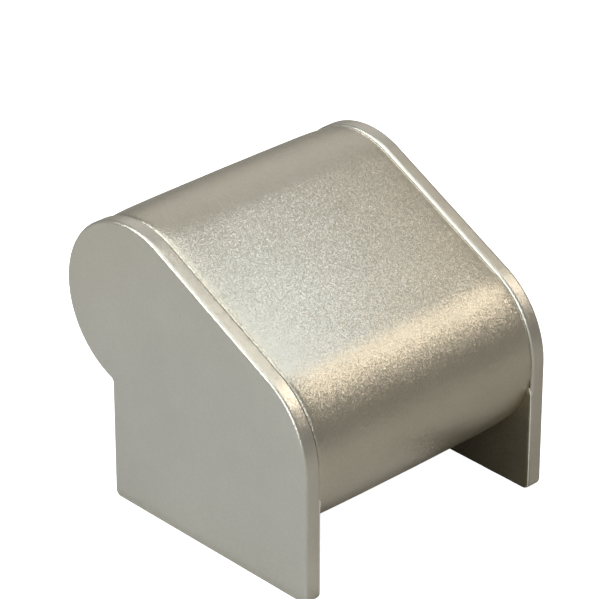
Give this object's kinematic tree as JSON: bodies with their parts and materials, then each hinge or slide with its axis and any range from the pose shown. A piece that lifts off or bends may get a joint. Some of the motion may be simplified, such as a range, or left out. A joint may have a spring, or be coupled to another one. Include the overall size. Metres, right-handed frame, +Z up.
{
  "type": "watch stand",
  "caption": "Small table stand whose padded, sloping roll between two upright side panels displays a closed wristwatch.",
  "frame": {"origin": "on the surface that the stand rests on, below the middle of its box", "axes": "+X along the roll to the right seen from the front, +Y to the back, +Z up; the slope for the watch faces -Y and up"},
  "size_m": [0.072, 0.0758, 0.0696],
  "materials": {
    "side_covering": "metallic leatherette, fine grain, satin",
    "roll_covering": "metallic leatherette, fine grain, satin",
    "lining_covering": "metallic leatherette, fine grain, satin",
    "board": "raw fibreboard",
    "card": "grey board, bent",
    "foam": "thin open-cell foam",
    "screw": "zinc plated"
  },
  "bodies": {
    "root": {"left_side_cover": "side_covering", "left_side_board": "board", "left_inner_lining": "lining_covering", "left_end_former": "board", "left_front_screw": "screw", "left_rear_screw": "screw", "right_side_cover": "side_covering", "right_side_board": "board", "right_inner_lining": "lining_covering", "right_end_former": "board", "right_front_screw": "screw", "right_rear_screw": "screw", "roll_shell": "card", "roll_padding": "foam", "roll_cover": "roll_covering"}
  },
  "joints": []
}
